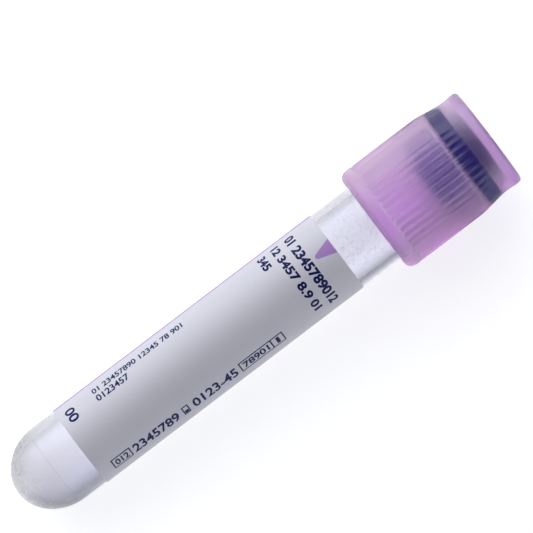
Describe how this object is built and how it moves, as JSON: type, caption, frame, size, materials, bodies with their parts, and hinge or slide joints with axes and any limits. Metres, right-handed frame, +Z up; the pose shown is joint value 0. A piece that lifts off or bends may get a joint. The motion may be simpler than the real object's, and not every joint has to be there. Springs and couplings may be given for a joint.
{
  "type": "blood collection tube",
  "caption": "Small clear plastic blood collection tube with a round end, a wrapped label and a pull-off closure: a rubber stopper inside a ribbed translucent lilac shield.",
  "frame": {"origin": "under the middle of the part, on the plane that the lying tube rests on", "axes": "+X from the round end towards the closure, +Z up; the tube's own axis rises about 2 degrees towards the closure"},
  "size_m": [0.0844, 0.0168, 0.0172],
  "materials": {
    "clear_plastic": "clear, glossy, slightly cloudy moulded plastic",
    "white_film": "smooth white label film, satin",
    "dark_rubber": "matt, very dark indigo moulded rubber",
    "lilac_plastic": "translucent lilac moulded plastic, satin"
  },
  "bodies": {
    "tube": {"tube": "clear_plastic", "label": "white_film"},
    "closure": {"stopper": "dark_rubber", "shield": "lilac_plastic"}
  },
  "joints": [
    {"name": "closure_pull", "type": "slide", "parent": "tube", "child": "closure", "axis": [0.9993, 0, 0.0365], "range_m": [0, 0.02]}
  ]
}
